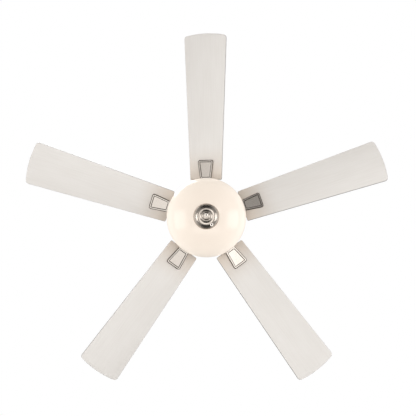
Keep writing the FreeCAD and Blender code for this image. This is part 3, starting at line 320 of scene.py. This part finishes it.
# The rim's sloped steps get a dark grey plate: painted shade for the dark lines along the rim's walls.
NICKEL_STEP_PAINTED_SHADE = metal("nickel_step_painted_shade", "#48433E", "#59534D", 0.34, 0.7)
POLISHED = metal("polished_nickel_pull", "#CFC8C0", "#DDD7D0", 0.13, 0.5, bump_height=0.01)
BEARING = metal("ground_bearing_steel", "#B4B6B8", "#D2D4D5", 0.14, 0.3, bump_height=0.01)
ENAMEL = moulded("white_enamel", "#E4E2DD", "#F3F1EC", 0.22, 2.0, 1.5)
GREEN = moulded("green_lacquer", "#1F6B33", "#2B8443", 0.3, 0.5, 1.5)
NYLON = moulded("black_nylon", "#141415", "#202022", 0.5, 0.5, 1.53)
PORCELAIN = moulded("glazed_porcelain", "#E6E3DB", "#F4F2EC", 0.12, 3.0, 1.52)
LAMP_WHITE = moulded("frosted_lamp", "#FFE9CC", "#FFF2DE", 0.4, 0.8, 1.5, glow=3.0)
FELT = moulded("white_felt", "#CFCBC2", "#E8E5DE", 0.9, 0.25, 1.4)
COPPER = copper_winding()
STACK = laminations()


# ---- drawing helpers ----

def arc_points(start, through, end, steps):
    """Points after start on the circle through three points of a profile."""
    ax, ay = start
    bx, by = through
    cx, cy = end
    twice = 2 * (ax * (by - cy) + bx * (cy - ay) + cx * (ay - by))
    a2, b2, c2 = ax * ax + ay * ay, bx * bx + by * by, cx * cx + cy * cy
    ox = (a2 * (by - cy) + b2 * (cy - ay) + c2 * (ay - by)) / twice
    oy = (a2 * (cx - bx) + b2 * (ax - cx) + c2 * (bx - ax)) / twice
    radius = math.hypot(ax - ox, ay - oy)
    first = math.atan2(ay - oy, ax - ox)
    turn = (math.atan2(cy - oy, cx - ox) - first) % math.tau
    if (math.atan2(by - oy, bx - ox) - first) % math.tau > turn:
        turn -= math.tau
    return [(ox + radius * math.cos(first + turn * i / steps),
             oy + radius * math.sin(first + turn * i / steps)) for i in range(1, steps + 1)]


def outline(start, *steps, smooth=10):
    """A profile from (radius, height) points in millimetres; a pair of points is an arc."""
    points = [start]
    for step in steps:
        if isinstance(step[0], tuple):
            points += arc_points(points[-1], step[0], step[1], smooth)
        else:
            points.append(step)
    return points


def quarter(start, end):
    """The arc step that rounds an outer corner, level at one end and upright at the other."""
    (r0, z0), (r1, z1) = start, end
    inward = r0 > r1
    centre = (min(r0, r1), z0 if inward else z1)
    corner = (max(r0, r1), z1 if inward else z0)
    share = math.sqrt(0.5)
    return (tuple(c + (k - c) * share for c, k in zip(centre, corner)), end)


def lathe(profile, closed=True, steps=LATHE_STEPS):
    """The profile turned once round the fan's axis, seams and poles merged, faces outwards."""
    bm = bmesh.new()
    points = [bm.verts.new((r * MM, 0, z * MM)) for r, z in profile]
    pairs = list(zip(points, points[1:])) + ([(points[-1], points[0])] if closed else [])
    for pair in pairs:
        bm.edges.new(pair)
    bmesh.ops.spin(bm, geom=bm.verts[:] + bm.edges[:], cent=(0, 0, 0), axis=(0, 0, 1),
                   angle=math.tau, steps=steps, use_merge=True, use_duplicate=False)
    bmesh.ops.remove_doubles(bm, verts=bm.verts[:], dist=1e-6)
    bmesh.ops.recalc_face_normals(bm, faces=bm.faces[:])
    return bm


def moved(bm, x=0.0, y=0.0, z=0.0):
    bmesh.ops.translate(bm, verts=bm.verts[:], vec=(x * MM, y * MM, z * MM))
    return bm


def flat(places, z):
    """A flat face with its corner points, from (x, y) places in millimetres."""
    bm = bmesh.new()
    points = [bm.verts.new((x * MM, y * MM, z * MM)) for x, y in places]
    bm.faces.new(points)
    return bm, points


def thickened(bm, height):
    """Gives a flat face its thickness, upwards or downwards."""
    lifted = bmesh.ops.extrude_face_region(bm, geom=bm.faces[:])
    bmesh.ops.translate(bm, vec=(0, 0, height * MM),
                        verts=[v for v in lifted["geom"] if isinstance(v, bmesh.types.BMVert)])
    bmesh.ops.recalc_face_normals(bm, faces=bm.faces[:])


def rounded(bm, parts, radius, segments, affect="VERTICES"):
    """Rounds the corner points of a flat face, or the edges of a solid."""
    bmesh.ops.bevel(bm, geom=list(parts), offset=radius * MM, segments=segments, profile=0.5,
                    affect=affect, material=-1, clamp_overlap=True)


def piece(name, bm, materials, body, replaces=(), wall=None, bevel=0.0, smooth_angle=32.0):
    """A finished object at the origin, riding on its body and standing for its CAD nodes."""
    mesh = bpy.data.meshes.new(name)
    bm.to_mesh(mesh)
    bm.free()
    for one in materials:
        mesh.materials.append(one)
    mesh.shade_smooth()
    mesh.set_sharp_from_angle(angle=math.radians(smooth_angle))
    made = bpy.data.objects.new(name, mesh)
    bpy.context.scene.collection.objects.link(made)
    if wall:
        thick = made.modifiers.new("wall", "SOLIDIFY")
        thick.thickness = wall * MM
        thick.offset = -1.0
        thick.use_even_offset = True
    if bevel:
        softened = made.modifiers.new("rounded_edges", "BEVEL")
        softened.width = bevel * MM
        softened.segments = 2
        softened.limit_method = "ANGLE"
        softened.angle_limit = math.radians(smooth_angle)
        softened.harden_normals = True
    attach(made, body)
    if replaces:
        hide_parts(*replaces)
    return made


def joined(parts):
    """Several bmeshes as one."""
    whole = bmesh.new()
    for part in parts:
        mesh = bpy.data.meshes.new("part")
        part.to_mesh(mesh)
        part.free()
        whole.from_mesh(mesh)
        bpy.data.meshes.remove(mesh)
    return whole


def mark_board(bm):
    """Keeps each point's place on the blade, before the blade is put on the fan."""
    layer = bm.verts.layers.float_vector.new("board")
    for vert in bm.verts:
        vert[layer] = vert.co
    return bm


def pitched():
    """From the blade's own level frame to its pitch and its height."""
    return Matrix.Translation((0, 0, BLADE_PLANE_Z * MM)) @ Matrix.Rotation(
        math.radians(-BLADE_PITCH), 4, "X")


def to_blade(bm, index, stance):
    """From the blade's own frame, x outwards, to its place on the fan."""
    turn = Matrix.Rotation(math.radians(FIRST_BLADE_ANGLE + 360.0 / BLADES * index), 4, "Z")
    bmesh.ops.transform(bm, matrix=turn @ stance, verts=bm.verts[:])
    return bm


# ---- turned metal ----

def canopy():
    """The spun cup against the ceiling, with a rolled bead at its mouth."""
    radius, low, high = cad("canopy")
    side, floor = (radius, low + 40.0), (radius - 40.0, low)
    bead = 1.1
    profile = outline((radius - 1.2, high), (radius - 0.2, high),
                      ((radius, high - bead), (radius - 0.5, high - 2 * bead)),
                      (radius - 0.5, side[1] + 2.0), side, quarter(side, floor), (19.0, low),
                      smooth=14)
    piece("canopy_shell", lathe(profile, closed=False), [NICKEL], "ceiling_mount", ["canopy"],
          wall=1.1, bevel=0.3)


def coupling_cover():
    """The bell that hides the joint of the downrod and the motor."""
    radius, low, high = cad("coupling_cover")
    neck = 14.55
    profile = outline((neck, high), (neck, high - 4.0),
                      ((radius - 13.0, high - 14.0), (radius - 3.0, high - 34.0)), (radius, low),
                      smooth=16)
    piece("coupling_cover_shell", lathe(profile, closed=False), [NICKEL], "fan_frame",
          ["coupling_cover"], wall=0.9, bevel=0.25)


def motor_housing():
    """A drawn drum with a ring of vents in its crown and two fine grooves round its side."""
    radius, low, high = cad("motor_housing")
    vent_start, vent_end, vent_every = 66.0, 98.0, 6
    crown, brow = (radius - 50.0, high), (radius, high - 50.0)
    skirt, lip = (radius, low + 12.0), (radius - 12.0, low)
    groove = 0.7
    grooves = []
    for level in (brow[1] - 3.0, skirt[1] + 2.0):
        grooves += [(radius, level), (radius - groove, level - 0.8),
                    (radius - groove, level - 1.6), (radius, level - 2.4)]
    profile = outline((21.0, high), (vent_start, high), crown, quarter(crown, brow), *grooves, skirt,
                      quarter(skirt, lip), smooth=14)
    bm = lathe(profile, closed=False)
    vents = []
    for face in bm.faces:
        centre = face.calc_center_median() / MM
        column = int(math.degrees(math.atan2(centre.y, centre.x)) % 360.0 / (360.0 / LATHE_STEPS))
        away = math.hypot(centre.x, centre.y)
        if vent_start < away < vent_end and column % vent_every == 0 and centre.z > high - 20:
            vents.append(face)
    bmesh.ops.delete(bm, geom=vents, context="FACES")
    piece("motor_housing_shell", bm, [NICKEL], "fan_frame", ["motor_housing"],
          wall=1.1, bevel=0.25)


def switch_housing():
    """The shallow cup that closes the switches in, over the light pan."""
    radius, low, high = cad("switch_housing")
    side, floor = (radius, low + 6.0), (radius - 6.0, low)
    profile = outline((radius - 0.4, high), (radius, high - 1.0), side, quarter(side, floor),
                      (14.0, low), smooth=8)
    piece("switch_housing_cup", lathe(profile, closed=False), [NICKEL], "fan_frame",
          ["switch_housing"], wall=1.1, bevel=0.25)


def light_pan():
    """The white dish over the bowl, with a pressed ring round its middle."""
    radius, low, high = cad("light_pan")
    crown, brow = (radius - 12.0, high), (radius, high - 12.0)
    profile = outline((5.2, high), (62.0, high), (66.0, high - 0.8), (110.0, high - 0.8),
                      (radius - 14.0, high), crown, quarter(crown, brow), (radius, low), smooth=8)
    piece("light_pan_dish", lathe(profile, closed=False), [ENAMEL], "fan_frame", ["light_pan"],
          wall=1.1, bevel=0.3)


def downrod():
    """The tube that the fan hangs on, its cut ends chamfered."""
    radius, low, high = cad("downrod")
    profile = outline((radius - 2.0, low), (radius - 0.6, low), (radius, low + 0.6),
                      (radius, high - 0.6), (radius - 0.6, high), (radius - 2.0, high))
    bm = lathe(profile, steps=64)
    piece("downrod_tube", bm, [NICKEL], "fan_frame", ["downrod"])


# ---- glass and what hangs under it ----

def bowl_profile(bowl_r, low, high):
    """Outer line of the bowl: an upright rim, a round shoulder and a shallow sag to its hole."""
    widest_z, shoulder_r, hole_r, depth = high - 13.0, 70.0, 39.0, 91.0
    sag_r = ((bowl_r ** 2 + depth ** 2 - 2 * bowl_r * shoulder_r) / (2 * (depth - shoulder_r)))
    sag_z = widest_z - depth + sag_r
    meet = math.atan2(bowl_r - shoulder_r, sag_z - widest_z)

    def shoulder(angle):
        return (bowl_r - shoulder_r + shoulder_r * math.sin(angle),
                widest_z - shoulder_r * math.cos(angle))

    def sag(r):
        return (r, sag_z - math.sqrt(sag_r ** 2 - r ** 2))

    join = shoulder(meet)
    return outline((bowl_r - 4.0, high), ((bowl_r - 1.0, high - 6.5), (bowl_r, widest_z)),
                   (shoulder((meet + math.pi / 2) / 2), join),
                   (sag((join[0] + hole_r) / 2), sag(hole_r)), smooth=20)


def glass_bowl():
    """The opal bowl, three millimetres thick, its rims fire-polished."""
    profile = bowl_profile(*cad("glass_bowl"))
    piece("opal_bowl", lathe(profile, closed=False, steps=160), [OPAL], "fan_frame", ["glass_bowl"],
          wall=3.0, bevel=0.8)


def bowl_cap():
    """The spun cup: a rolled rim, a full round shoulder and a flat floor."""
    radius, low, high = cad("bowl_cap")
    profile = outline((radius - 1.2, high), ((radius - 0.3, high - 0.3), (radius, high - 1.4)),
                      (radius - 0.5, high - 2.6), (radius - 0.3, high - 5.0),
                      ((radius - 6.3, low + 6.8), (24.5, low)), (9.0, low), smooth=14)
    piece("bowl_cap_cup", lathe(profile, closed=False), [NICKEL], "fan_frame", ["bowl_cap"],
          wall=1.0)


def finial():
    """A solid turned finial: a stepped tier, a waist, a round knob and a tip with the chain's hole."""
    radius, low, high = cad("finial")
    profile = outline((5.1, high), (radius - 2.0, high), (radius - 2.0, high - 1.2),
                      ((radius - 0.3, high - 1.6), (radius, high - 2.8)),
                      ((radius - 3.4, high - 6.6), (15.6, high - 8.6)),
                      (13.4, high - 9.4), (13.4, high - 10.4), ((14.8, high - 11.2), (15.0, high - 13.0)),
                      (15.0, low + 10.5), ((13.0, low + 5.4), (9.2, low + 3.6)),
                      (8.2, low + 3.2), (8.6, low + 2.4), (8.6, low + 0.8),
                      ((8.3, low + 0.2), (7.7, low)), (3.0, low), (2.4, low + 0.6),
                      (2.4, high - 13.5), (5.1, high - 13.5), smooth=8)
    piece("finial_knob", lathe(profile), [NICKEL_KNOB], "fan_frame", ["finial"],
          smooth_angle=38.0)


def fan_chain_place():
    """Where the fan's chain hangs, in millimetres from the axis."""
    low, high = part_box("fan_chain")
    return (low[0] + high[0]) / 2 / MM, (low[1] + high[1]) / 2 / MM


def chain_ferrule():
    """A flared grommet that lines the fan chain's hole."""
    radius, low, high = cad("chain_ferrule")
    profile = outline((2.4, low + 0.8), ((2.7, low + 0.2), (3.3, low)),
                      ((radius - 0.2, low + 0.5), (radius, low + 1.5)), (radius, low + 2.6),
                      (radius - 0.5, low + 3.0), (radius - 0.5, high), (2.4, high), smooth=6)
    x, y = fan_chain_place()
    piece("chain_ferrule_grommet", moved(lathe(profile, steps=48), x, y), [NICKEL], "fan_frame",
          ["chain_ferrule"])


def fob(name, x, y):
    """A bell-shaped pull whose bore is painted black: painted shade in the hole."""
    low, high = (corner[2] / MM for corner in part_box(name))
    radius, bore_r = 5.8, 2.4
    profile = outline((0.0, high), (1.8, high), ((2.5, high - 0.4), (2.6, high - 1.2)),
                      (2.6, high - 2.5), (3.2, high - 2.9), (2.7, high - 3.4),
                      ((radius - 1.4, high - 8.0), (radius, low + 2.6)),
                      ((radius - 0.2, low + 0.6), (radius - 0.9, low)), (bore_r + 0.3, low),
                      (bore_r, low + 0.4), (bore_r, low + 6.0), (0.0, low + 6.4), smooth=8)
    bell = moved(lathe(profile, closed=False, steps=48), x, y)
    # Faces inside the bore take the black finish as painted shade.
    for face in bell.faces:
        centre = face.calc_center_median() / MM
        inside = math.hypot(centre.x - x, centre.y - y) < bore_r + 0.05 and centre.z < high - 8.0
        face.material_index = int(inside)
    return bell


def chain(name, x, y):
    """Hollow beads on a link wire, from the switch down to the fob."""
    low, high = (corner[2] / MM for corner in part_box(name))
    bead_r, pitch, wire_r = 1.6, 4.2, 0.45
    beads = []
    level = high - bead_r
    while level > low + bead_r:
        bead = bmesh.new()
        bmesh.ops.create_uvsphere(bead, u_segments=10, v_segments=6, radius=bead_r * MM)
        beads.append(moved(bead, x, y, level))
        level -= pitch
    wire = bmesh.new()
    bmesh.ops.create_cone(wire, cap_ends=True, segments=8, radius1=wire_r * MM, radius2=wire_r * MM,
                          depth=(high - low) * MM)
    beads.append(moved(wire, x, y, (high + low) / 2))
    return joined(beads), [(x * MM, y * MM, high * MM), (x * MM, y * MM, low * MM)]


def pull_chain(name, x, y):
    """A chain with its fob, hanging from its switch."""
    fob_name = name.replace("chain", "fob")
    weight = piece(f"{fob_name}_bell", fob(fob_name, x, y), [POLISHED, NYLON], name, [fob_name],
                   smooth_angle=38.0)
    beads, path = chain(name, x, y)
    made = piece(f"{name}_beads", beads, [SCREW_STEEL], name, [name],
                 smooth_angle=60.0)


# ---- blades ----

def blade(index):
    """A fibreboard blade: laminated faces, rounded corners and a soft taped edge."""
    root_r, tip_r, root_half, tip_half, thickness = 135.0, 660.0, 56.5, 77.0, 6.0
    arc_r = 330.0
    corner_x = tip_r - arc_r + math.sqrt(arc_r ** 2 - (tip_half - 0.4) ** 2)
    rim = [(root_r, -root_half)] + outline(
        (corner_x, -tip_half), ((tip_r, 0.0), (corner_x, tip_half)), smooth=16) + [(root_r, root_half)]
    bm, points = flat(rim, -thickness / 2)
    for point, radius in ((points[0], 5.0), (points[-1], 5.0), (points[1], 12.0), (points[-2], 12.0)):
        rounded(bm, [point], radius, 6)
    thickened(bm, thickness)
    rims = [e for e in bm.edges if len({abs(f.normal.z) < 0.5 for f in e.link_faces}) == 2]
    rounded(bm, rims, 1.0, 3, "EDGES")
    # The edges take the edge tape, darkened as painted shade.
    for face in bm.faces:
        face.material_index = 0 if abs(face.normal.z) > 0.8 else 1
    piece(f"blade_board_{index + 1}", to_blade(mark_board(bm), index, pitched()), [LAMINATE, EDGE_AND_SHADE],
          "rotor", [f"blade_{index + 1}"], smooth_angle=40.0)


def iron_plate():
    """The plate under the blade: a tapered shield, its raised rim sloped on both sides."""
    start_r, end_r, end_half, taper = 138.0, 206.0, 28.6, 0.125
    top, thickness, rise, slope, rim, corner_r = -3.2, 6.0, 2.2, 2.3, 3.4, 8.6
    start_half = end_half - taper * (end_r - start_r)
    bm, points = flat(((start_r, -start_half), (start_r, start_half), (end_r, end_half),
                       (end_r, -end_half)), top)
    rounded(bm, points, corner_r, 6)
    thickened(bm, rise - thickness)
    panel = [min(bm.faces, key=lambda f: f.calc_center_median().z)]
    for width, depth in ((slope, rise), (rim, 0.0), (slope, -rise)):
        ring = bmesh.ops.inset_region(bm, faces=panel, thickness=width * MM, depth=depth * MM,
                                      use_even_offset=True)
        for face in ring["faces"]:
            # Sloped steps take the dark plate: painted shade along the rim.
            face.material_index = 1 if depth else 0
    return bm


def iron_arm():
    """The arm from the motor to the plate: pushed out of the foot in steps, each turned a little."""
    foot_low, foot_high, foot_end, half = -261.8, -258.3, 88.0, 21.0
    thickness = foot_high - foot_low
    bm, points = flat(((58.0, -half), (58.0, half), (foot_end, half), (foot_end, -half)), foot_low)
    rounded(bm, points[:2], 6.0, 5)
    thickened(bm, thickness)
    end = max(bm.faces, key=lambda f: f.calc_center_median().x)
    stance = Matrix.Translation((foot_end * MM, 0, (foot_low + foot_high) / 2 * MM))
    plate_z = BLADE_PLANE_Z - 6.2 * math.cos(math.radians(BLADE_PITCH))
    stations = ((96.0, 15.5, 3.8, -260.8, 0.0), (104.0, 14.0, 4.2, -262.6, 0.0),
                (112.0, 14.5, 4.6, -267.0, -4.0), (120.0, 15.6, 5.2, -272.6, -8.5),
                (128.0, 16.8, 5.8, -276.6, -12.0), (134.0, 18.6, 6.0, plate_z, -12.5),
                (142.0, 20.4, 6.0, plate_z, -12.5))
    for x, next_half, next_thickness, z, pitch in stations:
        pushed = bmesh.ops.extrude_face_region(bm, geom=[end])
        bmesh.ops.delete(bm, geom=[end], context="FACES_ONLY")
        end = next(f for f in pushed["geom"] if isinstance(f, bmesh.types.BMFace))
        sized = Matrix.Diagonal((1, next_half / half, next_thickness / thickness, 1))
        place = Matrix.Translation((x * MM, 0, z * MM)) @ Matrix.Rotation(
            math.radians(pitch), 4, "X")
        bmesh.ops.transform(bm, matrix=place @ sized @ stance.inverted(), verts=end.verts[:])
        stance, half, thickness = place, next_half, next_thickness
    bmesh.ops.recalc_face_normals(bm, faces=bm.faces[:])
    return bm


def blade_iron(index):
    """The cast iron of one blade: its pitched plate and the arm that carries it."""
    plate = mark_board(iron_plate())
    bmesh.ops.transform(plate, verts=plate.verts[:], matrix=pitched())
    bm = to_blade(joined([plate, mark_board(iron_arm())]), index, Matrix())
    piece(f"blade_iron_casting_{index + 1}", bm, [NICKEL_IRON, NICKEL_STEP_PAINTED_SHADE], "rotor",
          [f"blade_iron_{index + 1}"], bevel=0.3, smooth_angle=30.0)


# ---- CAD nodes that are shown as they are ----

CARRIED = {
    ZINC: ("hanger_bracket", "motor_yoke", "switch_plate", "switch_plate_nut", "center_stem",
           "stem_nuts", "lamp_bracket"),
    SCREW_STEEL: ("canopy_screws", "hanger_pin", "clevis_pin", "hairpin_clip", "set_screws",
                  "housing_screws", "rotor_screws", "iron_screws", "blade_screws", "kit_screws"),
    GREEN: ("ground_screw",),
    NYLON: ("hanger_ball", "blade_washers", "fan_switch", "light_switch", "capacitor",
            "reverse_switch", "reverse_slider"),
    BEARING: ("motor_shaft", "bearing_inner_races", "rotor_bearings"),
    CAST: ("rotor_top_cover", "rotor_bottom_cover"),
    STACK: ("rotor_ring", "stator_core"),
    COPPER: ("stator_windings",),
    PORCELAIN: ("lamp_holders",),
    LAMP_WHITE: ("lamps",),
    FELT: ("bowl_gasket",),
}


def paint_carried():
    """Gives each CAD node that is shown its own finish."""
    for finish, names in CARRIED.items():
        for name in names:
            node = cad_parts[name]
            if not node.material_slots:
                node.data.materials.append(finish)
            for place in node.material_slots:
                place.material = finish


# ---- studio ----

def screen(name, half, place, finish):
    """A flat square of the studio, half of its side given in metres."""
    bm = bmesh.new()
    bmesh.ops.create_grid(bm, x_segments=1, y_segments=1, size=half)
    bmesh.ops.transform(bm, verts=bm.verts[:], matrix=place)
    mesh = bpy.data.meshes.new(name)
    bm.to_mesh(mesh)
    bm.free()
    mesh.materials.append(finish)
    made = bpy.data.objects.new(name, mesh)
    bpy.context.scene.collection.objects.link(made)
    return made


def floor_paint():
    """Matt off-white paint with a faint roller mottle."""
    made, tree, shader = start_material("studio_floor")
    place = add(tree, "TexCoord")
    grain = add(tree, "TexNoise", {"Vector": place.outputs["Object"], "Scale": 3.0})
    tone = add(tree, "Mix", {"Factor": grain.outputs["Fac"], "A": linear("#F6F5F4"),
                             "B": linear("#F9F8F7")}, data_type="RGBA")
    shade(tree, shader, Base_Color=tone.outputs["Result"], Roughness=0.8)
    return made


def surround():
    """White behind the fan; what lights it is bright to the sides and dark before and behind."""
    world = bpy.data.worlds.new("studio")
    bpy.context.scene.world = world
    world.use_nodes = True
    tree = world.node_tree
    tree.nodes.clear()
    path = add(tree, "LightPath")
    way = add(tree, "SeparateXYZ", {"Vector": add(tree, "TexCoord").outputs["Generated"]})
    sideways = add(tree, "Math", {0: way.outputs["X"], 1: 2.0}, operation="POWER")
    level = add(tree, "MapRange", {"Value": sideways.outputs[0], "To Min": 0.1, "To Max": 1.35})
    seen = add(tree, "Background", {"Color": linear("#FFFFFF"), "Strength": 1.0})
    lit = add(tree, "Background", {"Color": linear("#FAF9F8"), "Strength": level.outputs["Result"]})
    mixed = add(tree, "MixShader", {0: path.outputs["Is Camera Ray"], 1: lit.outputs[0],
                                    2: seen.outputs[0]})
    add(tree, "OutputWorld", {"Surface": mixed.outputs[0]})


def softbox(name, place, size, power):
    """A square lamp aimed at the fan and hidden from the camera."""
    data = bpy.data.lights.new(name, "AREA")
    data.shape = "SQUARE"
    data.size = size
    data.energy = power
    data.color = linear("#FFFEFD")[:3]
    light = bpy.data.objects.new(name, data)
    bpy.context.scene.collection.objects.link(light)
    light.visible_camera = False
    aim = Vector((0.0, 0.0, -0.3)) - Vector(place)
    light.matrix_world = Matrix.Translation(place) @ aim.to_track_quat("-Z", "Y").to_matrix().to_4x4()


def studio():
    """A pale floor far below, two black flags that the metal mirrors, and five soft lights."""
    screen("floor", 200.0, Matrix.Translation((0, 0, -6.5)), floor_paint())
    upright = Matrix.Rotation(math.pi / 2, 4, "X")
    for number, y in ((1, -3.8), (2, 3.8)):
        flag = screen(f"black_flag_{number}", 2.4, Matrix.Translation((0, y, -3.2)) @ upright, NYLON)
        flag.visible_camera = flag.visible_diffuse = flag.visible_shadow = False
    surround()
    softbox("softbox_right", (-3.6, -0.2, -2.4), 2.4, 50.0)
    softbox("softbox_left", (3.6, -0.2, -2.4), 2.4, 45.0)
    softbox("fill_below", (0.0, -0.6, -6.2), 6.0, 168.0)
    softbox("softbox_low_right", (-2.2, 1.6, -5.6), 1.6, 15.0)
    softbox("softbox_above", (1.2, 2.2, 2.6), 3.0, 130.0)
    bpy.context.scene.view_settings.view_transform = "Standard"


pull_chain("light_chain", 0.0, 0.0)
pull_chain("fan_chain", *fan_chain_place())
canopy()
coupling_cover()
motor_housing()
switch_housing()
light_pan()
downrod()
glass_bowl()
bowl_cap()
finial()
chain_ferrule()
for number in range(BLADES):
    blade(number)
    blade_iron(number)
paint_carried()
studio()
